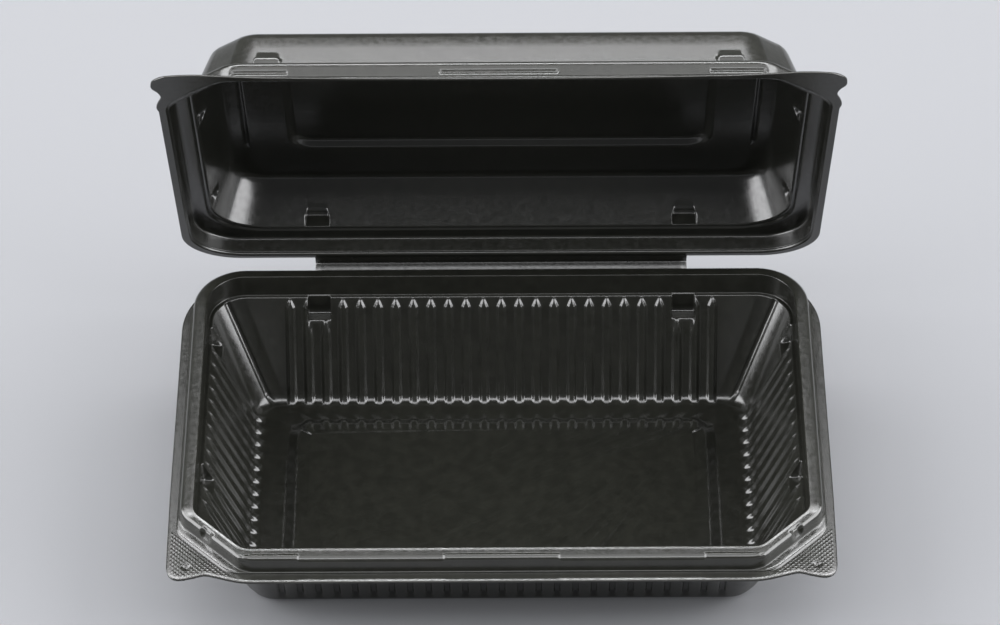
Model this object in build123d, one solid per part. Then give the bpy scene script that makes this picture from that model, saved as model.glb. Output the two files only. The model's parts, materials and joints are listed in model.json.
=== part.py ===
"""Hinged-lid food tray, vacuum formed from one sheet of black plastic: a ribbed tray, a domed lid and
the folding strip that joins them. The lid is built closed, over the tray, and then turned open about
the crease. Millimetres, +Z up, -Y the front, origin under the middle of the tray's foot."""

import os
from math import sqrt

from build123d import *

# ---- driving dimensions -------------------------------------------------------------------------
SHEET = 0.6  # thickness of the formed sheet
FLANGE_TOP = 34.6  # height of the tray's flange above the table
BEAD_RISE = 6.0  # the raised rim stands this far above the flange
BEAD_HALF_X, BEAD_HALF_Y = 97.0, 63.2  # outer top edge of the raised rim
BACK_RADIUS = 16.0  # plan radius of the rim's two back corners
FRONT_CUT = 19.5  # leg of the cut-off front corners of the rim
FRONT_RADIUS = 9.0  # rounding at the ends of each cut-off corner
BEAD_WIDTH = 3.8
RIM_DRAFT = 0.5  # the rim's faces lean this much over their height
LEDGE_DROP = 1.7  # the inner ledge lies this far below the flange
LEDGE_WIDTH = 1.2
FLOOR_HALF_X, FLOOR_HALF_Y = 77.2, 42.1
FLOOR_BACK_RADIUS, FLOOR_CUT, FLOOR_FRONT_RADIUS = 8.0, 5.0, 7.5
FLOOR_ROUND, FLOOR_SETBACK = 2.2, 1.6  # height and width over which the walls turn into the floor
PANEL_HALF_X, PANEL_HALF_Y = 68.0, 34.0  # raised middle of the floor, measured at its foot
PANEL_RISE, PANEL_SLOPE, PANEL_RADIUS = 2.0, 3.4, 8.0
FLANGE_HALF_X, FLANGE_HALF_Y = 100.8, 67.2
FLANGE_BACK_RADIUS = 26.0
TAB_Y, TAB_TIP_RADIUS = -66.2, 4.4  # front edge and outer corner of the tray's finger tabs
TAB_EDGE = ((88.9, -64.5), (81.2, -66.4), (74.5, -67.2))  # from the tab's tip in to the front edge

RIB_PITCH, SIDE_RIB_PITCH = 5.6, 5.42
RIB_WIDTH, RIB_HEIGHT = 3.4, 0.9
RIB_SINK = 0.2  # a rib's bar starts this deep in the wall; its hollow starts outside the sheet
BACK_RIB_COUNT, SIDE_RIB_COUNT = 25, 13
SIDE_RIB_LAST_Y = -30.5  # the side rib nearest the front

LUG_WIDTH, LUG_DEPTH = 7.2, 6.0  # stacking lugs: small pockets below the ledge
LUG_SETBACK = 0.9  # from the ledge's outer edge to the lug's upright back
LUG_X = 58.0
SIDE_LUG_Y = (40.0, -20.0)

LID_GAP = 0.1  # between the two flanges when the lid is shut
LID_BAND_HALF_X, LID_BAND_HALF_Y = 98.0, 65.0  # lid rim's outer top edge
LID_BAND_RISE = 6.05
LID_BACK_RADIUS, LID_FRONT_CUT = 16.5, 19.8
LID_FLANGE_BACK_RADIUS = 18.0
LID_TAB_START_Y = -44.5  # where the flange's side edge turns into a finger tab
LID_TAB_WAIST = ((100.6, -49.6), (99.2, -54.6), (100.6, -59.2))
LID_TAB_TIP = ((101.3, -63.2), (98.9, -67.4), (94.6, -68.7), (87.0, -68.7))
LID_FRONT_EDGE = ((70.0, -67.2), (35.0, -66.3), (0, -66.0))
DOME_HALF_X, DOME_HALF_Y = 91.4, 58.0  # foot of the lid's wall
DOME_BACK_RADIUS, DOME_CUT, DOME_FRONT_RADIUS = 17.5, 14.0, 11.0
DOME_HEIGHT = 21.5  # top of the lid above its flange
DOME_DRAFT = 0.33  # the lid's walls lean in this much per millimetre of height
PLATEAU_HALF_X, PLATEAU_HALF_Y = 65.9, 30.2
PLATEAU_RISE, PLATEAU_SLOPE, PLATEAU_RADIUS = 2.6, 1.6, 8.0
STACK_RIDGE_X, STACK_RIDGE_WIDTH, STACK_RIDGE_HEIGHT = 79.3, 1.8, 0.8
STACK_RIDGE_HALF_LENGTH = 29.0
LID_LUG_WIDTH, LID_LUG_HEIGHT, LID_LUG_DEPTH = 7.3, 6.0, 3.4
LID_BACK_LUG_X, LID_FRONT_LUG_X = 58.4, 68.5
LID_SIDE_LUG_Y = (38.5, -22.5)

HINGE_Y = 71.5  # crease of the folding strip
HINGE_HALF_LENGTH = 59.4
CREASE_CLEARANCE = 0.45  # each half of the strip stops this short of the crease
OPEN_ANGLE = 66.0  # how far the lid stands open

# ---- derived heights ------------------------------------------------------------------------------
FLANGE_UNDER = FLANGE_TOP - SHEET
BEAD_TOP = FLANGE_TOP + BEAD_RISE
LEDGE_TOP = FLANGE_TOP - LEDGE_DROP
LID_UNDER = FLANGE_TOP + LID_GAP
LID_TOP_OF_FLANGE = LID_UNDER + SHEET
LID_BAND_TOP = LID_TOP_OF_FLANGE + LID_BAND_RISE
DOME_TOP = LID_TOP_OF_FLANGE + DOME_HEIGHT
HINGE_Z = FLANGE_TOP + LID_GAP / 2
OVERRUN = 1.0  # cutting solids run past the faces they cut


def plan(half_x, half_y, back_radius, cut, front_radius):
    """Corners of a plan outline: round at the back, cut off at the front."""
    return (half_x, half_y, back_radius, cut, front_radius)


def grown(outline, by):
    """The same outline moved outwards by a distance, or inwards by a negative one."""
    half_x, half_y, back_radius, cut, front_radius = outline
    cut_leg = cut + (2 - sqrt(2)) * by
    return plan(
        half_x + by, half_y + by, max(back_radius + by, 1.0), cut_leg, max(front_radius + by, 1.0)
    )


def section(outline, z):
    half_x, half_y, back_radius, cut, front_radius = outline
    corners = [
        (half_x, half_y),
        (half_x, cut - half_y),
        (half_x - cut, -half_y),
        (cut - half_x, -half_y),
        (-half_x, cut - half_y),
        (-half_x, half_y),
    ]
    radii = [back_radius] + [front_radius] * 4 + [back_radius]
    return Pos(0, 0, z) * make_face(FilletPolyline(*corners, radius=radii, close=True))


def stack(*levels):
    """Solid that runs straight through a list of (outline, height) levels."""
    solid = None
    for (low, z_low), (high, z_high) in zip(levels, levels[1:]):
        slab = loft([section(low, z_low), section(high, z_high)], ruled=True)
        solid = slab if solid is None else solid + slab
    return solid


def rounded_block(half_x, half_y, radius, slope, z_low, z_high):
    """Low panel with sloping sides and round corners."""
    low = Pos(0, 0, z_low) * RectangleRounded(2 * half_x, 2 * half_y, radius)
    high = Pos(0, 0, z_high) * RectangleRounded(
        2 * (half_x - slope), 2 * (half_y - slope), radius - slope / 2
    )
    return loft([low, high], ruled=True)


def mirrored_face(right_half):
    """Face from the right half of its outline, which starts and ends on the middle plane."""
    left_half = [mirror(edge, Plane.YZ) for edge in right_half]
    return make_face(right_half + left_half)


# ---- tray -----------------------------------------------------------------------------------------
BEAD = plan(BEAD_HALF_X, BEAD_HALF_Y, BACK_RADIUS, FRONT_CUT, FRONT_RADIUS)
BEAD_FOOT = grown(BEAD, RIM_DRAFT)
BEAD_INNER = grown(BEAD, -BEAD_WIDTH)
LEDGE_OUTER = grown(BEAD_INNER, -RIM_DRAFT)
WALL_TOP = grown(LEDGE_OUTER, -LEDGE_WIDTH)
FLOOR = plan(FLOOR_HALF_X, FLOOR_HALF_Y, FLOOR_BACK_RADIUS, FLOOR_CUT, FLOOR_FRONT_RADIUS)
FLOOR_TOP = SHEET
WALL_HEIGHT = LEDGE_TOP - FLOOR_TOP


def wall_outline(z, outwards=0.0):
    """The inside of the tray's wall at a height, moved outwards through the sheet if asked."""
    share = (z - FLOOR_TOP) / WALL_HEIGHT
    mixed = [low + (high - low) * share for low, high in zip(FLOOR, WALL_TOP)]
    return grown(plan(*mixed), outwards)


def tray_flange():
    """Flange with a finger tab at each front corner."""
    tip_side = (FLANGE_HALF_X, TAB_Y + TAB_TIP_RADIUS)
    tip_front = (FLANGE_HALF_X - TAB_TIP_RADIUS, TAB_Y)
    back_start = FLANGE_HALF_X - FLANGE_BACK_RADIUS
    side_start = FLANGE_HALF_Y - FLANGE_BACK_RADIUS
    right_half = [
        Line((0, FLANGE_HALF_Y), (back_start, FLANGE_HALF_Y)),
        RadiusArc((back_start, FLANGE_HALF_Y), (FLANGE_HALF_X, side_start), FLANGE_BACK_RADIUS),
        Line((FLANGE_HALF_X, side_start), tip_side),
        RadiusArc(tip_side, tip_front, TAB_TIP_RADIUS),
        Spline(tip_front, *TAB_EDGE, tangents=[(-1, 0), (-1, 0)]),
        Line(TAB_EDGE[-1], (0, -FLANGE_HALF_Y)),
    ]
    return Pos(0, 0, FLANGE_UNDER) * extrude(mirrored_face(right_half), amount=SHEET)


def ridge(top, foot, inwards, width, height):
    """Flat-topped bar that lies along a wall, with its underside on the line from top to foot."""
    along = (foot - top).normalized()
    across = along.cross(inwards).normalized()
    lift = across.cross(along).normalized()
    if lift.dot(inwards) < 0:
        across, lift = -across, -lift
    plane = Plane(origin=top, x_dir=across, z_dir=along)
    side = height if plane.y_dir.dot(lift) > 0 else -height
    profile = Polyline((-width / 2, 0), (-width / 4, side), (width / 4, side), (width / 2, 0), close=True)
    return extrude(plane * make_face(profile), amount=(foot - top).length)


def wall_ridges(width, height, outwards):
    """The bars of every rib on all four walls, set back through the sheet by a distance."""
    top_z, foot_z = LEDGE_TOP - 1.0, FLOOR_TOP + FLOOR_ROUND / 2
    top, foot = wall_outline(top_z, outwards), wall_outline(foot_z, outwards)
    bars = []
    for facing in (1, -1):
        for index in range(BACK_RIB_COUNT):
            x = (index - (BACK_RIB_COUNT - 1) / 2) * RIB_PITCH
            ends = Vector(x, facing * top[1], top_z), Vector(x, facing * foot[1], foot_z)
            bars.append(ridge(*ends, Vector(0, -facing, 0), width, height))
        for index in range(SIDE_RIB_COUNT):
            y = SIDE_RIB_LAST_Y + index * SIDE_RIB_PITCH
            ends = Vector(facing * top[0], y, top_z), Vector(facing * foot[0], y, foot_z)
            bars.append(ridge(*ends, Vector(-facing, 0, 0), width, height))
    return bars


def tray_lugs(margin):
    """Solids of the stacking lugs: upright-backed pockets below the ledge, grown by a margin."""
    depth = LEDGE_WIDTH + LUG_DEPTH * (WALL_TOP[1] - FLOOR[1]) / WALL_HEIGHT + 1
    lugs = []
    for facing in (1, -1):
        back = facing * (LEDGE_OUTER[1] - LUG_SETBACK - depth / 2 + margin / 2)
        for x in (LUG_X, -LUG_X):
            size = (LUG_WIDTH + 2 * margin, depth + margin, LUG_DEPTH + margin)
            lugs.append(Pos(x, back, LEDGE_TOP - LUG_DEPTH / 2 - margin / 2) * Box(*size))
        side = facing * (LEDGE_OUTER[0] - LUG_SETBACK - depth / 2 + margin / 2)
        for y in SIDE_LUG_Y:
            size = (depth + margin, LUG_WIDTH + 2 * margin, LUG_DEPTH + margin)
            lugs.append(Pos(side, y, LEDGE_TOP - LUG_DEPTH / 2 - margin / 2) * Box(*size))
    return lugs


def tray_shell():
    """Ribbed bowl, ledge, hollow raised rim and flange, all of one sheet."""
    outer = stack(
        (grown(FLOOR, -FLOOR_SETBACK), 0),
        (wall_outline(FLOOR_ROUND, SHEET), FLOOR_ROUND),
        (wall_outline(LEDGE_TOP - SHEET, SHEET), LEDGE_TOP - SHEET),
    )
    riser = stack((grown(LEDGE_OUTER, SHEET), LEDGE_TOP - SHEET), (grown(LEDGE_OUTER, SHEET), FLANGE_UNDER))
    rim = stack((BEAD_FOOT, FLANGE_UNDER), (BEAD, BEAD_TOP))
    inner = stack(
        (grown(FLOOR, -FLOOR_SETBACK - SHEET), FLOOR_TOP),
        (wall_outline(FLOOR_ROUND + SHEET), FLOOR_ROUND + SHEET),
        (WALL_TOP, LEDGE_TOP),
    )
    well = stack((LEDGE_OUTER, LEDGE_TOP), (BEAD_INNER, BEAD_TOP), (BEAD_INNER, BEAD_TOP + OVERRUN))
    channel = stack((grown(BEAD_FOOT, -SHEET), FLANGE_UNDER - OVERRUN), (grown(BEAD, -SHEET), BEAD_TOP - SHEET))
    core = stack(
        (grown(LEDGE_OUTER, SHEET), FLANGE_UNDER - 2 * OVERRUN), (grown(BEAD_INNER, SHEET), BEAD_TOP)
    )
    shell = outer + riser + rim + tray_flange()
    shell = shell + tray_lugs(SHEET)
    shell = shell - inner - well - (channel - core)
    panel_sides = (PANEL_RADIUS, PANEL_SLOPE)
    shell = shell + rounded_block(
        PANEL_HALF_X, PANEL_HALF_Y, *panel_sides, SHEET / 2, SHEET + PANEL_RISE
    )
    shell = shell - rounded_block(
        PANEL_HALF_X - SHEET, PANEL_HALF_Y - SHEET, *panel_sides, -SHEET / 2, PANEL_RISE
    )
    shell = shell + wall_ridges(RIB_WIDTH, RIB_HEIGHT, RIB_SINK)
    shell = shell - wall_ridges(RIB_WIDTH - SHEET, RIB_HEIGHT, SHEET + RIB_SINK / 2)
    return shell - tray_lugs(0)


# ---- lid, shut ------------------------------------------------------------------------------------
LID_BAND = plan(LID_BAND_HALF_X, LID_BAND_HALF_Y, LID_BACK_RADIUS, LID_FRONT_CUT, FRONT_RADIUS)
LID_BAND_FOOT = grown(LID_BAND, RIM_DRAFT)
DOME_FOOT = plan(DOME_HALF_X, DOME_HALF_Y, DOME_BACK_RADIUS, DOME_CUT, DOME_FRONT_RADIUS)


def lid_flange():
    """Flange of the lid: its two front tabs have a waist, and its front edge bows in a little."""
    back_start = FLANGE_HALF_X - LID_FLANGE_BACK_RADIUS
    side_start = FLANGE_HALF_Y - LID_FLANGE_BACK_RADIUS
    tab_start = (FLANGE_HALF_X, LID_TAB_START_Y)
    right_half = [
        Line((0, FLANGE_HALF_Y), (back_start, FLANGE_HALF_Y)),
        RadiusArc((back_start, FLANGE_HALF_Y), (FLANGE_HALF_X, side_start), LID_FLANGE_BACK_RADIUS),
        Line((FLANGE_HALF_X, side_start), tab_start),
        Spline(
            tab_start,
            *LID_TAB_WAIST,
            *LID_TAB_TIP,
            *LID_FRONT_EDGE,
            tangents=[(0, -1), (-1, 0)],
        ),
    ]
    return Pos(0, 0, LID_UNDER) * extrude(mirrored_face(right_half), amount=SHEET)


def dome_levels(inset):
    """Levels of the lid's dome, whose walls turn into its top over a rounded shoulder."""
    shoulder = [(5.2, 0.0), (2.4, 0.9), (0.8, 2.2), (0.0, 4.2)]  # depth below the top, extra lean
    levels = [(grown(DOME_FOOT, -inset), LID_BAND_TOP - SHEET - inset)]
    for depth, lean in shoulder:
        height = DOME_HEIGHT - LID_BAND_RISE - depth
        levels.append((grown(DOME_FOOT, -inset - DOME_DRAFT * height - lean), DOME_TOP - inset - depth))
    return levels


def lid_lugs(margin):
    """Solids of the lid's stacking lugs: bumps at the foot of its walls, hollow from inside."""
    depth = LID_LUG_DEPTH
    height = LID_LUG_HEIGHT + SHEET
    lugs = []
    for facing, lug_x in ((1, LID_BACK_LUG_X), (-1, LID_FRONT_LUG_X)):
        middle = facing * (DOME_HALF_Y - SHEET - depth / 2 + margin / 2)
        for x in (lug_x, -lug_x):
            size = (LID_LUG_WIDTH + 2 * margin, depth + margin, height + margin)
            lugs.append(Pos(x, middle, LID_BAND_TOP - SHEET + height / 2 + margin / 2) * Box(*size))
    for facing in (1, -1):
        middle = facing * (DOME_HALF_X - SHEET - depth / 2 + margin / 2)
        for y in LID_SIDE_LUG_Y:
            size = (depth + margin, LID_LUG_WIDTH + 2 * margin, height + margin)
            lugs.append(Pos(middle, y, LID_BAND_TOP - SHEET + height / 2 + margin / 2) * Box(*size))
    return lugs


def top_features(margin):
    """Raised plateau and the two side ridges that locate a tray stacked on the lid."""
    low, high = DOME_TOP - SHEET - margin, DOME_TOP - SHEET + margin
    grow = margin - SHEET
    features = [
        rounded_block(
            PLATEAU_HALF_X + grow,
            PLATEAU_HALF_Y + grow,
            PLATEAU_RADIUS,
            PLATEAU_SLOPE,
            low,
            high + PLATEAU_RISE,
        )
    ]
    for side in (1, -1):
        features.append(
            Pos(side * STACK_RIDGE_X, 0, (low + high + STACK_RIDGE_HEIGHT) / 2)
            * Box(
                STACK_RIDGE_WIDTH + 2 * grow,
                2 * (STACK_RIDGE_HALF_LENGTH + grow),
                high + STACK_RIDGE_HEIGHT - low,
            )
        )
    return features


def lid_shell():
    """Flange, rim that caps the tray's raised rim, and domed top, all of one sheet."""
    rim = stack((LID_BAND_FOOT, LID_UNDER), (LID_BAND, LID_BAND_TOP))
    rim_inside = stack(
        (grown(LID_BAND_FOOT, -SHEET), LID_UNDER - OVERRUN),
        (grown(LID_BAND_FOOT, -SHEET), LID_UNDER),
        (grown(LID_BAND, -SHEET), LID_BAND_TOP - SHEET),
    )
    shell = lid_flange() + rim + stack(*dome_levels(0)) + lid_lugs(SHEET)
    shell = shell + top_features(SHEET)
    shell = shell - rim_inside - stack(*dome_levels(SHEET)) - lid_lugs(0)
    return shell - top_features(0)


# ---- folding strip --------------------------------------------------------------------------------
def strip_half(z_low):
    """One half of the folding strip, from a back flange to just short of the crease."""
    width = HINGE_Y - CREASE_CLEARANCE - FLANGE_HALF_Y
    middle = FLANGE_HALF_Y + width / 2
    return Pos(0, middle, z_low + SHEET / 2) * Box(2 * HINGE_HALF_LENGTH, width, SHEET)


CREASE = Axis((0, HINGE_Y, HINGE_Z), (-1, 0, 0))


def opened(part):
    return part.rotate(CREASE, OPEN_ANGLE)


parts = {
    "tray_shell": tray_shell(),
    "hinge_strip_tray_half": strip_half(FLANGE_UNDER),
    "hinge_strip_lid_half": opened(strip_half(LID_UNDER)),
    "lid_shell": opened(lid_shell()),
}

os.makedirs("parts", exist_ok=True)
for name, part in parts.items():
    export_step(part, f"parts/{name}.step")
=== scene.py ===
"""Looks of the black hinged-lid food tray. Every piece is one formed plastic sheet: rows of points run
from its edge to its middle, and its ribs, lugs, grooves and knurl are moved points of those rows.
Lengths in this file are in millimetres and become metres when a mesh is made."""

import json
from math import cos, pi, radians, sin, sqrt, tan

import bpy
import numpy as np
from mathutils import Matrix, Vector


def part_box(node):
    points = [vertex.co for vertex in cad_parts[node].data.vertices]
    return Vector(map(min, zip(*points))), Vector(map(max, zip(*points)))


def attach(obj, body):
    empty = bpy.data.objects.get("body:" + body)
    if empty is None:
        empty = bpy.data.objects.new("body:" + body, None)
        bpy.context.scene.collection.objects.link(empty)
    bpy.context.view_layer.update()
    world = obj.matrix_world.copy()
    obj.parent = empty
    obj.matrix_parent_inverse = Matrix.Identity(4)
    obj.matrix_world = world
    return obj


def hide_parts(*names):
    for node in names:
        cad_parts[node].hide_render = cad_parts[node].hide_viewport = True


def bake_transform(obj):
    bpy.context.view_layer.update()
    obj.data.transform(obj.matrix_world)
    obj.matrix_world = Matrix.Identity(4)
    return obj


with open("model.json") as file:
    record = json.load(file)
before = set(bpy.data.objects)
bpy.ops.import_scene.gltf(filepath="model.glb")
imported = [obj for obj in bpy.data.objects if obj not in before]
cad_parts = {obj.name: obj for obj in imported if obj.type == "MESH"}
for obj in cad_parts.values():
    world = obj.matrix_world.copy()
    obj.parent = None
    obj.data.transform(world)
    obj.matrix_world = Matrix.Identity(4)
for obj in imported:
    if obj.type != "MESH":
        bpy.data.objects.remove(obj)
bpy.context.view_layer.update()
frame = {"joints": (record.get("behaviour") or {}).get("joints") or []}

# ---- frame ---------------------------------------------------------------------------------------
MM = 0.001
SHEET = 0.6  # thickness
HALF_GAP = 0.05  # half the space between the two flanges when the lid is shut
HINGE = frame["joints"][0]
CREASE_Y, CREASE_Z = HINGE["pos_m"][1] / MM, HINGE["pos_m"][2] / MM
OPEN_ANGLE = radians(-HINGE["range_deg"][0])
FLANGE_TOP = CREASE_Z - HALF_GAP  # top of the tray's flange
LID_UNDER = CREASE_Z + HALF_GAP  # underside of the lid's flange, lid shut
FLANGE_X, FLANGE_Y = 100.8, 67.2  # half sizes of the flange
STRIP_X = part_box("hinge_strip_tray_half")[1].x / MM

LEAN = tan(radians(22.5))  # tangent length of a 45 degree corner, per unit of radius
SQUARE = 2 - sqrt(2)  # cut leg at which two 45 degree corners meet

# ---- where the points of a row lie ---------------------------------------------------------------
BACK_RIBS, SIDE_RIBS = 25, 13
RIB_PITCH, SIDE_PITCH = 5.6, 5.42
BACK_END, FRONT_END = 70.0, 69.0  # ends of the evenly keyed back and front runs
SIDE_BACK, SIDE_FRONT = 37.0, -33.0
SIDE_RIB_FIRST_Y = 34.54
# across a rib and the space beside it, with the side walls' ribs a little narrower
SIDE_SCALE = 0.97
RIB_KEYS = np.array([-2.1, -1.72, -1.4, -1.1, -0.75, -0.4, 0, 0.4, 0.75, 1.1, 1.4, 1.72, 2.1, 2.8])
LUG_X, LUG_HALF = 58.0, 3.6
TRAY_SIDE_LUGS, LID_SIDE_LUGS = (40.0, -20.0), (38.5, -22.5)


def smooth(low, high, x):
    t = np.clip((x - low) / (high - low), 0, 1)
    return t * t * (3 - 2 * t)


def within(x, centre, half, edge=0.3):
    """1 inside a band, 0 outside it, with soft edges."""
    return 1 - smooth(half - edge / 2, half + edge / 2, np.abs(x - centre))


def lug_edges(lugs, offsets):
    """Positions on and beside both edges of each lug."""
    return [lug + side * (LUG_HALF + offset) for lug in lugs for side in (-1, 1) for offset in offsets]


def run_keys(end):
    """Positions along the right half of the back or the front, from the middle out."""
    keys = (np.arange(-1, BACK_RIBS // 2 + 1)[:, None] * RIB_PITCH + RIB_KEYS).ravel()
    keys = np.unique(np.round(np.concatenate([keys, lug_edges([LUG_X], (-0.25, 0, 0.25))]), 2))
    return np.concatenate([[0], keys[(keys > 0.01) & (keys < end - 0.05)], [end]])


def side_keys():
    """Positions along a side, from back to front."""
    first = SIDE_RIB_FIRST_Y - np.arange(-1, SIDE_RIBS + 1)[:, None] * SIDE_PITCH
    keys = (first + RIB_KEYS * SIDE_SCALE).ravel()
    edges = lug_edges((TRAY_SIDE_LUGS[1], LID_SIDE_LUGS[1]), (-0.2, 0.2))
    keys = np.unique(np.round(np.concatenate([keys, edges]), 2))
    keys = keys[(keys > SIDE_FRONT + 0.05) & (keys < SIDE_BACK - 0.05)]
    return np.concatenate([[SIDE_BACK], keys[::-1], [SIDE_FRONT]])


BACK_KEYS = run_keys(BACK_END)
FRONT_KEYS = run_keys(FRONT_END)
SIDE_KEYS = side_keys()
CORNER_POINTS, TAB_POINTS = 96, 250

# the five runs of the right half of a row, and the run that each point of a whole row is in
BACK, BACK_CORNER, SIDE, FRONT_CORNER, FRONT = range(5)
KIND = np.repeat(range(5), [len(BACK_KEYS), CORNER_POINTS, len(SIDE_KEYS), TAB_POINTS, len(FRONT_KEYS)])
KIND = np.concatenate([KIND, KIND[-2:0:-1]])


def resampled(path, count):
    """Points evenly spaced along a path, without its two ends."""
    path = np.asarray(path, float)
    length = np.concatenate([[0], np.cumsum(np.hypot(*np.diff(path, axis=0).T))])
    at = np.linspace(0, length[-1], count + 2)[1:-1]
    return np.stack([np.interp(at, length, path[:, i]) for i in (0, 1)], 1)


def arc(x, y, radius, start, end, count=24):
    a = np.radians(np.linspace(start, end, count))
    return np.stack([x + radius * np.cos(a), y + radius * np.sin(a)], 1)


def closed(half):
    """Whole outline from its right half, which starts at the back and ends at the front."""
    return np.concatenate([half, (half * [-1, 1])[-2:0:-1]])


def joined(back, corner, side_run, tab, front):
    """Whole outline from the five runs of its right half."""
    corner, tab = resampled(corner, CORNER_POINTS), resampled(tab, TAB_POINTS)
    return closed(np.concatenate([back, corner, side_run, tab, front]))


def outline(half_x, half_y, back_radius, cut, front_radius, z=0.0):
    """Measures of one level: half sizes, corner radii, leg of the cut front corner, height."""
    return np.array([half_x, half_y, back_radius, cut, front_radius, z], float)


def grown(v, by):
    """The same level moved out all round."""
    half_x, half_y, back, cut, front, z = v
    return outline(half_x + by, half_y + by, max(back + by, 0.8), cut + SQUARE * by, max(front + by, 0.8), z)


def by_chamfer(half_x, half_y, back_radius, total, front_radius, z=0.0):
    """Outline whose cut corners lie on |x| + |y| = total."""
    return outline(half_x, half_y, back_radius, half_x + half_y - total, front_radius, z)


def row(v):
    """Points round an outline: round back corners, cut-off front corners."""
    hx, hy, rb, cut, rf, z = v
    lean = rf * LEAN
    end_back = min(BACK_END, hx - 0.45 * rb)
    top = min(SIDE_BACK, hy - 0.45 * rb)
    bottom = max(SIDE_FRONT, -(hy - cut - lean))
    end_front = min(FRONT_END, hx - cut - lean)

    def round_edge(flat, limit, along):
        over = np.clip(along - (limit - rb), 0, rb)
        return flat - rb + np.sqrt(rb * rb - over * over)

    x = BACK_KEYS * (end_back / BACK_END)
    back = np.stack([x, round_edge(hy, hx, x)], 1)
    y = bottom + (SIDE_KEYS - SIDE_FRONT) * (top - bottom) / (SIDE_BACK - SIDE_FRONT)
    side_run = np.stack([round_edge(hx, hy, y), y], 1)
    bend = arc(hx - rb, hy - rb, rb, 90, 0)
    bend = bend[(bend[:, 0] > back[-1, 0] + 1e-6) & (bend[:, 1] > side_run[0, 1] + 1e-6)]
    corner = np.concatenate([back[-1:], bend, side_run[:1]])
    tab = np.concatenate(
        [
            side_run[-1:],
            arc(hx - rf, cut + lean - hy, rf, 0, -45),
            arc(hx - cut - lean, rf - hy, rf, -45, -90),
            [[end_front, -hy]],
        ]
    )
    x = FRONT_KEYS[::-1] * (end_front / FRONT_END)
    front = np.stack([x, np.full_like(x, -hy)], 1)
    points = joined(back, corner, side_run, tab, front)
    return np.column_stack([points, np.full(len(points), z)])


def curve_through(points, steps=12):
    """Smooth path through points (Catmull-Rom)."""
    p = np.asarray(points, float)
    p = np.concatenate([[2 * p[0] - p[1]], p, [2 * p[-1] - p[-2]]])
    out = []
    for a, b, c, d in zip(p, p[1:], p[2:], p[3:]):
        for t in np.linspace(0, 1, steps, endpoint=False):
            bend, twist = 2 * a - 5 * b + 4 * c - d, 3 * b - a - 3 * c + d
            out.append(0.5 * (2 * b + (c - a) * t + bend * t**2 + twist * t**3))
    return np.array(out + [p[-2]])


def flange_edge(back_radius, tab_points, front_points):
    """Outer edge of a flange: its tab runs from the side key to the front key."""
    x = BACK_KEYS
    back = np.stack([x, np.full_like(x, FLANGE_Y)], 1)
    bend = arc(FLANGE_X - back_radius, FLANGE_Y - back_radius, back_radius, 90, 0)
    corner = np.concatenate([back[-1:], bend, [[FLANGE_X, SIDE_BACK]]])
    side_run = np.stack([np.full_like(SIDE_KEYS, FLANGE_X), SIDE_KEYS], 1)
    x = FRONT_KEYS[::-1]
    fx, fy = np.array(front_points, float).T
    front = np.stack([x, -np.interp(x, fx, fy)], 1)
    tab = np.concatenate([side_run[-1:], curve_through(tab_points), front[:1]])
    return joined(back, corner, side_run, tab, front)


def inset(points, by):
    """A closed outline moved inwards; it runs clockwise seen from above."""
    along = np.roll(points, -1, 0) - np.roll(points, 1, 0)
    along /= np.maximum(np.hypot(*along.T), 1e-9)[:, None]
    return points + np.stack([along[:, 1], -along[:, 0]], 1) * by


def flat(points, z):
    """A row at one height, or at a height for each point."""
    return np.column_stack([points, np.broadcast_to(z, len(points))])


def profile(*corners):
    """Rows through corners, each with its level, its rounding and the rows in the span that follows."""
    rows, bends = [], []
    for i, (v, radius, _) in enumerate(corners):
        if radius == 0 or i in (0, len(corners) - 1):
            bends.append([v])
            continue
        before, after = corners[i - 1][0] - v, corners[i + 1][0] - v
        before = before * min(radius / np.hypot(before[1], before[5]), 0.48)
        after = after * min(radius / np.hypot(after[1], after[5]), 0.48)
        bends.append([v + before * (1 - t) ** 2 + after * t * t for t in np.linspace(0, 1, 5)])
    for i, bend in enumerate(bends):
        rows += bend
        if i + 1 < len(bends):
            start, end, count = bend[-1], bends[i + 1][0], corners[i][2]
            rows += [start + (end - start) * t for t in np.linspace(0, 1, count + 1)[1:-1]]
    return rows


def normals(grid):
    """Unit normals of the rows' surface; up on a level sheet."""
    around = np.roll(grid, -1, 1) - np.roll(grid, 1, 1)
    inwards = np.gradient(grid, axis=0)
    n = np.cross(inwards, around)
    return n / np.maximum(np.linalg.norm(n, axis=2), 1e-9)[..., None]


def settled(n, passes=2):
    """Normals averaged with their neighbours, so that the far side of the sheet doesn't fold."""
    for _ in range(passes):
        n = n + np.roll(n, 1, 1) + np.roll(n, -1, 1)
        n[1:-1] = n[1:-1] + 0.6 * (n[:-2] + n[2:])
        n /= np.maximum(np.linalg.norm(n, axis=2), 1e-9)[..., None]
    return n


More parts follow.
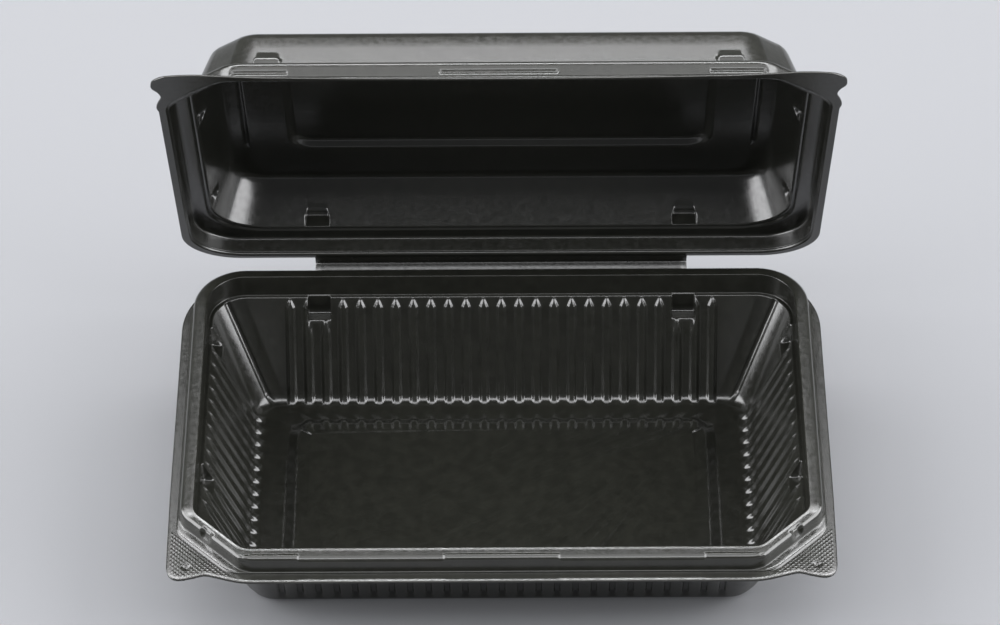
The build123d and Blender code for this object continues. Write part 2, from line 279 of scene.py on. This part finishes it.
def sheet_mesh(name, grid, lift, turn=None, under=None):
    """Closed sheet from the rows of one face, in the frame that turn leads to.

    lift is +SHEET or -SHEET, the way to the other face, which follows the rows in under, if given.
    """
    under = grid if under is None else under
    other = under + settled(normals(under)) * lift
    rows, count = grid.shape[:2]
    points = np.concatenate([grid.reshape(-1, 3), other.reshape(-1, 3)])
    if turn is not None:
        points = turn(points)
    i, j = np.meshgrid(np.arange(rows - 1), np.arange(count), indexing="ij")
    k = (j + 1) % count
    quads = np.stack([i * count + j, (i + 1) * count + j, (i + 1) * count + k, i * count + k], -1)
    quads = quads.reshape(-1, 4)
    far = quads[:, ::-1] + rows * count
    j = np.arange(count)
    k = (j + 1) % count
    rim = np.stack([j, k, k + rows * count, j + rows * count], -1)
    last = (rows - 1) * count + np.arange(count)
    faces = [quads, far, rim]
    lids = [last[::-1], last + rows * count]
    if lift > 0:
        faces = [f[:, ::-1] for f in faces]
        lids = [f[::-1] for f in lids]
    faces = np.concatenate(faces)
    mesh = bpy.data.meshes.new(name)
    mesh.vertices.add(len(points))
    mesh.vertices.foreach_set("co", (points * MM).astype(np.float32).ravel())
    loops = np.concatenate([faces.ravel()] + lids).astype(np.int32)
    mesh.loops.add(len(loops))
    mesh.loops.foreach_set("vertex_index", loops)
    starts = np.concatenate([np.arange(len(faces)) * 4, [faces.size, faces.size + count]]).astype(np.int32)
    mesh.polygons.add(len(starts))
    mesh.polygons.foreach_set("loop_start", starts)
    mesh.update(calc_edges=True)
    mesh.validate()
    mesh.shade_smooth()
    obj = bpy.data.objects.new(name, mesh)
    bpy.context.scene.collection.objects.link(obj)
    return obj


def box_strip(name, section, half_x, columns=40):
    """Closed bar with one cross-section along X."""
    section = np.asarray(section, float)
    n = len(section)
    xs = np.linspace(-half_x, half_x, columns)
    points = [(x * MM, y * MM, z * MM) for x in xs for y, z in section]
    faces = [
        (a * n + i, a * n + (i + 1) % n, (a + 1) * n + (i + 1) % n, (a + 1) * n + i)
        for a in range(columns - 1) for i in range(n)
    ]
    faces += [tuple(range(n))[::-1], tuple((columns - 1) * n + i for i in range(n))]
    mesh = bpy.data.meshes.new(name)
    mesh.from_pydata(points, [], faces)
    mesh.validate()
    mesh.shade_smooth()
    obj = bpy.data.objects.new(name, mesh)
    bpy.context.scene.collection.objects.link(obj)
    return obj


def opened(points):
    """Turns points of the shut lid about the crease to where the lid stands."""
    y, z = points[..., 1] - CREASE_Y, points[..., 2] - CREASE_Z
    c, s = cos(OPEN_ANGLE), sin(OPEN_ANGLE)
    return np.stack([points[..., 0], CREASE_Y + y * c + z * s, CREASE_Z - y * s + z * c], -1)


def in_plane_pocket(grid, rows, base_axis, face, masks, depths, path):
    """Moves a wall's rows, where their masks are 1, onto a path of (distance from the middle, height)."""
    lengths = np.concatenate([[0], np.cumsum(np.hypot(*np.diff(path, axis=0).T))])
    share = (depths - depths[0]) / (depths[-1] - depths[0])
    for r, t, mask in zip(rows, share, masks):
        out = np.interp(t * lengths[-1], lengths, path[:, 0])
        z = np.interp(t * lengths[-1], lengths, path[:, 1])
        grid[r, :, base_axis] += mask * (face * out - grid[r, :, base_axis])
        grid[r, :, 2] += mask * (z - grid[r, :, 2])


# ---- tray ----------------------------------------------------------------------------------------
BEAD_RISE, PLINTH_RISE, LIP_DROP, LEDGE_DROP, DEPTH = 6.0, 0.6, 0.75, 1.7, 34.0
PLINTH_FOOT = by_chamfer(98.1, 64.1, 16.8, 145.4, 9)
PLINTH = by_chamfer(97.9, 63.95, 16.6, 145.1, 9, PLINTH_RISE)
BEAD_FOOT = by_chamfer(97.5, 63.7, 16.4, 141.3, 9, PLINTH_RISE + 0.04)
BEAD_OUT = by_chamfer(97.0, 63.2, 16, 140.7, 9, BEAD_RISE - 0.85)
BEAD_CREST = by_chamfer(93.9, 60.1, 13.0, 137.8, 7, BEAD_RISE - 0.13)
BEAD_IN = by_chamfer(92.7, 58.75, 11.8, 136.3, 6, BEAD_RISE + 0.04)
LEDGE_OUT = by_chamfer(92.6, 58.5, 11.6, 136.1, 5.5, -LEDGE_DROP)
WALL_TOP = by_chamfer(91.4, 57.3, 10.4, 132.7, 4.5, -LEDGE_DROP)
FLOOR = outline(78.2, 43.1, 9, 5.6, 8.5, -DEPTH)
FLOOR_TURN = 2.9  # the walls turn into the floor over this length
PANEL_FOOT = outline(68, 34, 8, 8 * SQUARE, 8, -DEPTH)
PANEL_TOP = outline(64.9, 30.9, 6.5, 6.5 * SQUARE, 6.5, 2 - DEPTH)
RIB_HALF, RIB_FLANK, RIB_HEIGHT = 1.72, 0.97, 0.85
TIP_LENGTH, SIDE_TIP_LENGTH, FOOT_LENGTH = 2.8, 6.0, 1.1
POCKET_BOTTOM = 6.8  # below the ledge
WALL_DROP = DEPTH - LEDGE_DROP
RIB_START = 0.35  # below the ledge; behind a lug, the ribs start under its shelf
GROOVE_X, GROOVE_Y, GROOVE_DEPTH = 73, 41, 0.75  # a point of the right groove's line, seen from above
KNURL_PITCH, KNURL_HEIGHT = 1.15, 0.055
DIMPLE_X, DIMPLE_Y, DIMPLE_DEPTH = 94.4, -60.9, 0.7
SNAP_BARS, SNAP_DEPTH = ((0, 17.2), (70.0, 9.3)), 0.5  # middles and half lengths; also the slots' depth
NOTCH_X, NOTCH_Y, NOTCH_DEPTH = 89.3, -52.5, 0.9
TRAY_TAB = [
    (100.6, -50), (100.5, -57), (100.3, -61.6), (99.2, -64.6), (96.7, -65.9), (92.8, -65.2),
    (88.9, -64.1), (85.0, -65.0), (81.1, -66.2), (77.5, -67.0), (73.5, -67.2),
]


def segments(x, spans):
    """1 within the spans (middle, half length) of a mirrored row of bars."""
    return np.maximum(*(within(np.abs(x), middle, half, 0.8) for middle, half in spans))


def tray_rows():
    """Rows of the tray's upper face, how far down the wall and on to the floor each is, and row numbers."""
    edge = flange_edge(26, TRAY_TAB, [(0, FLANGE_Y), (FRONT_END, FLANGE_Y)])
    lip = LIP_DROP * (1 - within(edge[:, 0], 0, STRIP_X + 0.5, 1.0) * (edge[:, 1] > 60))
    start = flat(inset(edge, 1.1), 0)
    rows = [
        flat(edge, -lip),
        flat(edge, -0.8 * lip),
        flat(edge, -np.minimum(0.45, lip)),
        flat(inset(edge, 0.05), -np.minimum(0.24, lip)),
        flat(inset(edge, 0.16), -np.minimum(0.1, lip)),
        flat(inset(edge, 0.35), -0.07),
        flat(inset(edge, 0.75), -0.02),
        start,
    ]
    foot = row(PLINTH_FOOT)
    rows += [start + (foot - start) * t for t in np.linspace(0, 1, 43)[1:-1]]
    tab_rows = (7, len(rows))
    bead = profile(
        (PLINTH_FOOT, 0, 1), (PLINTH, 0.3, 1), (BEAD_FOOT, 0.12, 4), (BEAD_OUT, 1.3, 4),
        (BEAD_CREST, 0.4, 2), (BEAD_IN, 0.4, 7), (LEDGE_OUT, 0.3, 3), (WALL_TOP, 0.25, 1),
    )
    spread = np.concatenate(
        [np.arange(0.45, 3.2, 0.27), np.arange(3.4, 7.6, 0.42), np.linspace(8.2, WALL_DROP - 3.2, 12)]
    )
    wall = [WALL_TOP + (FLOOR - WALL_TOP) * d / WALL_DROP for d in spread]
    inner = grown(FLOOR, -FLOOR_TURN)
    rise = WALL_TOP - FLOOR
    rise *= FLOOR_TURN / np.hypot(rise[1], rise[5])
    fillet = [FLOOR + rise * (1 - t) ** 2 + (inner - FLOOR) * t * t for t in np.linspace(0, 1, 10)]
    floor = profile(
        (grown(inner, -0.4), 0, 2), (grown(inner, -2), 0, 1), (PANEL_FOOT, 0.7, 2), (PANEL_TOP, 0.7, 2),
        (grown(PANEL_TOP, -2), 0, 1), (grown(PANEL_TOP, -4), 0, 1),
    )

    def past_wall(v):
        on_floor = v[5] < -DEPTH + 0.02
        return WALL_DROP + max(0.0, FLOOR[1] - v[1]) if on_floor else -LEDGE_DROP - v[5]

    first_wall = len(rows) + len(bead)
    depth = np.concatenate([np.zeros(first_wall), spread, [past_wall(v) for v in fillet + floor]])
    grid = np.array(rows + [row(v) for v in bead + wall + fillet + floor])
    counts = {"tab": tab_rows, "bead": len(rows), "ledge": first_wall - 1, "wall": first_wall}
    return grid, depth, counts


def rib_height(across, depth, start, tip):
    """Height of one rib: pointed at its top, rounded off where it runs out onto the floor."""
    half = RIB_HALF * np.clip((depth - start) / tip, 0, 1) ** 0.6
    over = np.clip((depth - WALL_DROP + FOOT_LENGTH) / FOOT_LENGTH, 0, 1)
    body = np.clip((half - np.abs(across)) / RIB_FLANK, 0, 1) * np.sqrt(1 - over**2)
    return RIB_HEIGHT * body * (1 - 0.25 * (1 - body))


def tray_ribs(grid, depth):
    """Heights of the ribs on the walls, on the back and the front and then on the sides."""
    x, y = grid[..., 0], grid[..., 1]
    d = depth[:, None]
    in_run = np.abs(x) < BACK_RIBS / 2 * RIB_PITCH
    back_run = np.isin(KIND, (BACK, FRONT, BACK_CORNER))[None, :] & in_run
    front_run = (KIND == FRONT_CORNER)[None, :] & in_run & (np.abs(y) > 30)
    across = x - RIB_PITCH * np.round(x / RIB_PITCH)
    behind_lug = within(np.abs(x), LUG_X, LUG_HALF, 0.2) > 0.5
    start = np.where(behind_lug, POCKET_BOTTOM + 0.6, RIB_START)
    height = np.where(back_run | front_run, rib_height(across, d, start, TIP_LENGTH), 0)
    low = SIDE_RIB_FIRST_Y - (SIDE_RIBS - 0.5) * SIDE_PITCH
    high = SIDE_RIB_FIRST_Y + 0.5 * SIDE_PITCH
    steps = (SIDE_RIB_FIRST_Y - y) / SIDE_PITCH
    across = (steps - np.round(steps)) * SIDE_PITCH
    behind_lug = np.maximum(*(within(y, lug, LUG_HALF, 0.2) for lug in TRAY_SIDE_LUGS)) > 0.5
    start = np.where(behind_lug, POCKET_BOTTOM + 0.6, RIB_START)
    beside = np.isin(KIND, (SIDE, BACK_CORNER, FRONT_CORNER))[None, :]
    sides = (np.abs(x) > 70) & (y > low) & (y < high) & beside
    return np.where(sides, rib_height(across, d, start, SIDE_TIP_LENGTH), height)


def tray_pockets(grid, depth, counts):
    """Stacking lugs: an upright back below the ledge, and a shelf that meets the wall again."""
    first = counts["wall"]
    reach = [r for r in range(first, len(depth)) if depth[r] <= POCKET_BOTTOM + 0.75]
    above = list(range(counts["ledge"] - 4, first))
    rows = above + reach
    depths = np.concatenate([np.linspace(-0.3, 0, len(above)), depth[reach]])
    slope = (WALL_TOP[1] - FLOOR[1]) / WALL_DROP
    end = depths[-1]
    bottom = -LEDGE_DROP - POCKET_BOTTOM
    for axis, top, centres in ((1, WALL_TOP[1], [LUG_X, -LUG_X]), (0, WALL_TOP[0], TRAY_SIDE_LUGS)):
        out = top + 0.6
        path = np.array(
            [
                (out, -LEDGE_DROP), (out - 0.1, bottom + 1.2), (out - 0.5, bottom + 0.2), (out - 1.1, bottom),
                (top - slope * end, -LEDGE_DROP - end),
            ]
        )
        for face in (1, -1):
            for centre in centres:
                across = grid[first, :, 1 - axis]
                mask = within(across, centre, LUG_HALF, 0.45) * (face * grid[first, :, axis] > 0.8 * top)
                in_plane_pocket(grid, rows, axis, face, [mask] * len(rows), depths, path)


def corner_grooves(grid, depth):
    """Depths of the two rear corner grooves, which run from the ledge down to the floor."""
    x, y, d = np.abs(grid[..., 0]), grid[..., 1], depth[:, None]
    off = np.abs((x - GROOVE_X) * sqrt(0.5) - (y - GROOVE_Y) * sqrt(0.5))
    in_wall = (d > 0.2) & (d < WALL_DROP + 0.5) & (y > 36) & (x > 69)
    fade = 1 - smooth(WALL_DROP - 3.0, WALL_DROP - 0.5, d)
    return in_wall * GROOVE_DEPTH * fade * (1 - smooth(0.35, 1.25, off))


def knurl_wave(along):
    """Wave of the knurl's pitch, at 45 degrees to the edges."""
    return np.cos(pi * along / sqrt(2) / KNURL_PITCH)


def tab_marks(rows):
    """Heights of the knurl on the two tabs, with a dimple in each."""
    x, y = np.abs(rows[..., 0]), rows[..., 1]
    beyond = (x + np.abs(y) - PLINTH_FOOT[:2].sum() + PLINTH_FOOT[3]) / sqrt(2)
    from_edge = np.linspace(0, 1, len(rows))[:, None]
    fade = smooth(0.35, 0.8, beyond) * (y < -40) * smooth(0, 0.04, from_edge)
    knurl = KNURL_HEIGHT * np.abs(knurl_wave(x + y) * knurl_wave(x - y)) ** 3
    from_dimple = np.hypot(x - DIMPLE_X, y - DIMPLE_Y)
    dent = DIMPLE_DEPTH * (1 - smooth(0.4, 1.5, from_dimple))
    return fade * (knurl * smooth(1.3, 2.0, from_dimple) - dent)


def bead_marks(rows):
    """Heights of the snap bars under the bead's front edge, less the notch in each cut corner."""
    x, y, z = (rows[..., i] for i in range(3))
    outer = (np.abs(y) > 61.5) & (y < 0)
    bars = outer * segments(x, SNAP_BARS) * SNAP_DEPTH * within(z, 5.25, 0.5, 0.35)
    along = (np.abs(x) - NOTCH_X + (y - NOTCH_Y)) / sqrt(2)
    in_cut = (np.abs(x) + np.abs(y) > 138.6) * (y < -40) * smooth(1.6, 3.6, z)
    return bars - in_cut * NOTCH_DEPTH * (1 - smooth(0.5, 2.9, np.abs(along)))


def tray():
    grid, depth, counts = tray_rows()
    base = normals(grid)
    push = tray_ribs(grid, depth) - corner_grooves(grid, depth)
    tab, bead = slice(*counts["tab"]), slice(counts["bead"], counts["ledge"])
    push[tab] += tab_marks(grid[tab])
    push[bead] += bead_marks(grid[bead])
    # from below, the ribs end above the foot
    fade = 1 - smooth(WALL_DROP - 4.5, WALL_DROP - 3.0, depth)[:, None]
    faces = []
    for moved in (push, push * fade):
        face = grid + base * moved[..., None]
        tray_pockets(face, depth, counts)
        face[..., 2] += FLANGE_TOP
        faces.append(face)
    return sheet_mesh("tray_sheet", faces[0], -SHEET, under=faces[1])


# ---- lid, built shut and then turned open --------------------------------------------------------
# Heights are of the inner face, above the underside of the flange.
BAND_HEIGHT, RECESS_HEIGHT, TOP_HEIGHT, PLATEAU_RISE = 6.05, 0.95, 21.8, 2.3
RECESS_FOOT = by_chamfer(98.5, 65.35, 17, 147.0, 9)
RECESS = by_chamfer(98.3, 65.2, 16.8, 146.8, 9, RECESS_HEIGHT)
BAND_FOOT = by_chamfer(97.9, 64.9, 16.4, 143.9, 9, RECESS_HEIGHT)
BAND_TOP = by_chamfer(97.4, 64.4, 16, 143.3, 9, BAND_HEIGHT)
GROOVE_OUT = by_chamfer(92.7, 59.6, 17.8, 137.4, 10, BAND_HEIGHT)
GROOVE_HIGH = by_chamfer(92.2, 59.1, 17.6, 136.7, 10, BAND_HEIGHT + 0.8)
DOME_FOOT = by_chamfer(91.0, 57.8, 17.3, 135.0, 10.4, BAND_HEIGHT + 0.35)
DOME_SHOULDER = by_chamfer(85.3, 52.1, 12.5, 126.6, 8, TOP_HEIGHT)
PLATEAU_FOOT = outline(65.9, 30.2, 8, 8 * SQUARE, 8, TOP_HEIGHT)
PLATEAU_TOP = outline(64.3, 28.6, 6.4, 6.4 * SQUARE, 6.4, TOP_HEIGHT + PLATEAU_RISE)
STACK_X, STACK_HALF, STACK_END, STACK_HEIGHT = 79.3, 0.9, 29.0, 0.8  # the side ridges on the top
SNAP_SLOTS = (0, 17.3), (70.0, 8.3)
LID_LUG_HALF, LID_LUG_TOP, LID_LUG_X, LID_FRONT_LUG_X = 3.75, 5.2, 58.4, 68.5
LID_TAB = [
    (100.8, -44.5), (101.3, -47.4), (100.6, -50.6), (99.5, -54.2), (100.1, -57.6),
    (101.6, -60.3), (101.9, -62.6), (101.2, -65.3), (98.7, -67.7), (95.7, -68.6),
    (90.1, -69.1), (85.0, -68.8), (78.0, -68.0), (72.0, -67.45),
]
LID_FRONT = [(0, 66.0), (20, 66.1), (40, 66.4), (55, 66.8), (FRONT_END, 67.25)]


def lid_pockets(grid, rows, heights):
    """Stacking lugs: bumps at the foot of the wall with an upright face and a sloping top."""
    lean = (DOME_FOOT[1] - DOME_SHOULDER[1]) / (DOME_SHOULDER[5] - DOME_FOOT[5])
    foot, end = DOME_FOOT[5], heights[-1]
    jobs = [(1, 1, DOME_FOOT[1], LID_LUG_X, True), (1, -1, DOME_FOOT[1], LID_FRONT_LUG_X, True)]
    jobs += [(0, face, DOME_FOOT[0], y, False) for face in (1, -1) for y in LID_SIDE_LUGS]
    for axis, face, out, centre, both in jobs:
        across = grid[rows[0], :, 1 - axis]
        across = np.abs(across) if both else across
        here = face * grid[rows[0], :, axis] > 0.8 * out
        halves = LID_LUG_HALF - 0.7 * smooth(LID_LUG_TOP * 0.6, LID_LUG_TOP * 1.05, heights - foot)
        masks = [within(across, centre, half, 0.5) * here for half in halves]
        path = np.array(
            [
                (out, foot), (out - 0.15, foot + LID_LUG_TOP - 1.0),
                (out - 0.5, foot + LID_LUG_TOP - 0.25), (out - 1.0, foot + LID_LUG_TOP),
                (out - lean * (end - foot), end),
            ]
        )
        in_plane_pocket(grid, rows, axis, face, masks, heights, path)


def lid():
    edge = flange_edge(18, LID_TAB, LID_FRONT)
    start = flat(inset(edge, 0.3), 0)
    foot = row(RECESS_FOOT)
    rows = [flat(edge, 0), flat(inset(edge, 0.1), 0), start]
    rows += [start + (foot - start) * t for t in np.linspace(0, 1, 9)[1:-1]]
    rim = profile(
        (RECESS_FOOT, 0, 1), (RECESS, 0.25, 1), (BAND_FOOT, 0.2, 8), (BAND_TOP, 0.9, 5),
        (GROOVE_OUT, 0.25, 1), (GROOVE_HIGH, 0.2, 1), (DOME_FOOT, 0.35, 1),
    )
    wall_heights = np.concatenate([np.arange(0.5, 5.9, 0.36), [6.6, 7.6, 9.0]])
    climb = DOME_SHOULDER[5] - DOME_FOOT[5]
    wall = [DOME_FOOT + (DOME_SHOULDER - DOME_FOOT) * h / climb for h in wall_heights]
    inner = grown(DOME_SHOULDER, -4.4)
    shoulder = profile((wall[-1], 0, 1), (DOME_SHOULDER, 2.5, 1), (inner, 0, 1))[1:]
    reach = inner[0] - PLATEAU_FOOT[0]
    near = [STACK_X + d for d in (1.3, 0.95, 0.75, 0.45, 0, -0.45, -0.75, -0.95, -1.3)]
    steps = [(inner[0] - x) / reach for x in near]
    top = [inner + (PLATEAU_FOOT - inner) * t for t in steps + [0.35, 0.6, 0.85]]
    plateau = profile(
        (top[-1], 0, 1), (PLATEAU_FOOT, 0.7, 2), (PLATEAU_TOP, 0.9, 2),
        (grown(PLATEAU_TOP, -2.5), 0, 1), (grown(PLATEAU_TOP, -5), 0, 1),
    )[1:]
    first_rim, first_wall = len(rows), len(rows) + len(rim)
    grid = np.array(rows + [row(v) for v in rim + wall + shoulder + top + plateau])
    base = normals(grid)
    push = np.zeros(grid.shape[:2])
    x, y, z = np.abs(grid[..., 0]), grid[..., 1], grid[..., 2]
    level = np.abs(z - TOP_HEIGHT) < 0.01
    ends = 1 - smooth(STACK_END - 0.8, STACK_END + 0.4, np.abs(y))
    push += level * ends * STACK_HEIGHT * (1 - smooth(0.4, STACK_HALF, np.abs(x - STACK_X)))
    band = np.zeros_like(push)
    band[first_rim:first_wall] = 1
    slots = segments(x, SNAP_SLOTS) * (y < -63.5)
    push -= band * slots * SNAP_DEPTH * within(z, 2.9, 0.55, 0.5)
    grid = grid + base * push[..., None]
    pocket_rows = list(range(first_wall - 1, first_wall + len(wall_heights) - 2))
    heights = np.concatenate([[DOME_FOOT[5]], DOME_FOOT[5] + wall_heights[:-2]])
    lid_pockets(grid, pocket_rows, heights)
    grid[..., 2] += LID_UNDER
    return sheet_mesh("lid_sheet", grid, SHEET, opened)


# ---- folding strip -------------------------------------------------------------------------------
def strip():
    """Tray half, crease and lid half as one bent bar. Its ends sit inside the two flanges."""
    inside_y, near_y, far_y = FLANGE_Y - 0.5, CREASE_Y - 0.25, CREASE_Y + 0.1
    thin = 0.04  # thinner than the flanges by this on each face
    low = [(inside_y, FLANGE_TOP - thin), (near_y, FLANGE_TOP - thin)]
    high = [(near_y, LID_UNDER + thin), (inside_y, LID_UNDER + thin)]
    high_far = [(inside_y, LID_UNDER + SHEET - thin), (far_y, LID_UNDER + SHEET - thin)]
    low_far = [(far_y, FLANGE_TOP - SHEET + thin), (inside_y, FLANGE_TOP - SHEET + thin)]

    def turned(pairs):
        return [tuple(p) for p in opened(np.array([(0, y, z) for y, z in pairs], float))[:, 1:]]

    span = np.array(low_far[0]) - turned(high_far)[-1]
    middle = tuple(np.array(turned(high_far)[-1]) + span / 2 + np.array([0.14, 0.0]))
    section = low + turned(high) + turned(high_far) + [middle] + low_far
    return box_strip("hinge_strip", section, STRIP_X)


# ---- materials -----------------------------------------------------------------------------------
# the hinge strip along the crease is given a slightly darker black than the two sheets
BLACK, DARKER_STRIP_BLACK = (0.0095, 0.0097, 0.0078), (0.007, 0.007, 0.006)
GRAIN_SCALE = 2500


def plastic(name, colour, roughness, grain):
    """Black formed plastic: a fine grain, soft waves of the sheet and uneven gloss."""
    material = bpy.data.materials.new(name)
    material.use_nodes = True
    nodes, links = material.node_tree.nodes, material.node_tree.links
    shader = nodes["Principled BSDF"]
    shader.inputs["IOR"].default_value = 1.52
    place = nodes.new("ShaderNodeTexCoord").outputs["Object"]

    def noise(scale, detail):
        node = nodes.new("ShaderNodeTexNoise")
        node.inputs["Scale"].default_value = scale
        node.inputs["Detail"].default_value = detail
        links.new(place, node.inputs["Vector"])
        return node.outputs["Fac"]

    def ramp(value, *stops):
        node = nodes.new("ShaderNodeValToRGB")
        for element, (at, shade) in zip(node.color_ramp.elements, stops):
            element.position, element.color = at, (*shade, 1)
        links.new(value, node.inputs["Fac"])
        return node.outputs["Color"]

    darker = tuple(0.75 * c for c in colour)
    links.new(ramp(noise(260, 3), (0.35, darker), (0.65, colour)), shader.inputs["Base Color"])
    spread = [(roughness - 0.05,) * 3, (roughness + 0.06,) * 3]
    links.new(ramp(noise(700, 4), (0.3, spread[0]), (0.7, spread[1])), shader.inputs["Roughness"])
    fine = nodes.new("ShaderNodeBump")
    fine.inputs["Strength"].default_value = grain
    fine.inputs["Distance"].default_value = 0.00012
    links.new(noise(GRAIN_SCALE, 2), fine.inputs["Height"])
    wave = nodes.new("ShaderNodeBump")
    wave.inputs["Strength"].default_value = 0.03
    wave.inputs["Distance"].default_value = 0.0006
    links.new(noise(110, 1), wave.inputs["Height"])
    links.new(fine.outputs["Normal"], wave.inputs["Normal"])
    links.new(wave.outputs["Normal"], shader.inputs["Normal"])
    return material


tray_material = plastic("tray_black", BLACK, 0.2, 0.09)
lid_material = plastic("lid_black", BLACK, 0.2, 0.05)
# the strip at the crease gets the slightly darker black
strip_material = plastic("strip_black", DARKER_STRIP_BLACK, 0.22, 0.1)

for make, material, body, slot, nodes in (
    (tray, tray_material, "tray", "tray_sheet", ["tray_shell"]),
    (lid, lid_material, "lid", "lid_sheet", ["lid_shell"]),
):
    piece = make()
    piece.data.materials.append(material)
    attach(piece, body)
    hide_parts(*nodes)

piece = strip()
piece.data.materials.append(strip_material)
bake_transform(piece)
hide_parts("hinge_strip_tray_half", "hinge_strip_lid_half")

# ---- floor, lights and camera --------------------------------------------------------------------
FLOOR_SPAN, FLOOR_Z = 6.0, -2e-5  # metres; just under the tray's foot
floor_corners = [(x * FLOOR_SPAN, y * FLOOR_SPAN, FLOOR_Z) for x, y in ((-1, -1), (1, -1), (1, 1), (-1, 1))]
floor_mesh = bpy.data.meshes.new("floor")
floor_mesh.from_pydata(floor_corners, [], [(0, 1, 2, 3)])
floor = bpy.data.objects.new("floor", floor_mesh)
bpy.context.scene.collection.objects.link(floor)
paper = bpy.data.materials.new("paper")
paper.use_nodes = True
paper_shader = paper.node_tree.nodes["Principled BSDF"]
paper_shader.inputs["Base Color"].default_value = (0.122, 0.124, 0.13, 1)
paper_shader.inputs["Roughness"].default_value = 0.9
floor_mesh.materials.append(paper)

world = bpy.data.worlds.new("studio")
world.use_nodes = True
background = world.node_tree.nodes["Background"]
background.inputs["Color"].default_value = (0.93, 0.95, 1.0, 1)
background.inputs["Strength"].default_value = 0.22
bpy.context.scene.world = world


LIGHTS_AIM = Vector((0, 0, 0.05))


def soft_light(name, position, width, height, radiance):
    """Rectangular softbox that faces the tray."""
    data = bpy.data.lights.new(name, "AREA")
    data.shape = "RECTANGLE"
    data.size, data.size_y = width, height
    data.energy = radiance * pi * width * height
    data.color = (0.98, 0.985, 1.0)
    light = bpy.data.objects.new(name, data)
    light.location = position
    light.rotation_euler = (LIGHTS_AIM - Vector(position)).to_track_quat("-Z", "Y").to_euler()
    bpy.context.scene.collection.objects.link(light)


soft_light("left", (-2.2, -0.1, 1.15), 2.8, 2.4, 10.5)
soft_light("right", (2.2, -0.1, 1.15), 2.8, 2.4, 10.5)
soft_light("back_low", (0, 2.01, 2.66), 4.8, 0.5, 8.5)
soft_light("back_high", (0, 1.65, 2.88), 4.8, 0.27, 30)
soft_light("overhead", (0, -0.15, 3.4), 4.5, 2.1, 2.8)
soft_light("front", (0, -1.6, 3.7), 5.0, 1.1, 7)

camera_data = bpy.data.cameras.new("camera")
camera_data.sensor_width = 36
camera_data.lens = 158.82
camera = bpy.data.objects.new("camera", camera_data)
PITCH, YAW, ROLL = radians(43.897), radians(-0.274), radians(-0.495)
AIM_RIGHT, AIM_UP, DISTANCE = -0.43, 33.40, 1362.54  # from the middle of the tray's flange
forward = Vector((sin(YAW) * cos(PITCH), cos(YAW) * cos(PITCH), -sin(PITCH)))
right = Vector((cos(YAW), -sin(YAW), 0))
up = right.cross(forward)
tilted_right = cos(ROLL) * right + sin(ROLL) * up
tilted_up = cos(ROLL) * up - sin(ROLL) * right
spot = tilted_right * AIM_RIGHT + tilted_up * AIM_UP - forward * DISTANCE + Vector((0, 0, FLANGE_TOP))
turn = Matrix((tilted_right, tilted_up, -forward)).transposed().to_4x4()
camera.matrix_world = Matrix.Translation(spot * MM) @ turn
bpy.context.scene.collection.objects.link(camera)
bpy.context.scene.camera = camera
bpy.context.scene.view_settings.view_transform = "Standard"
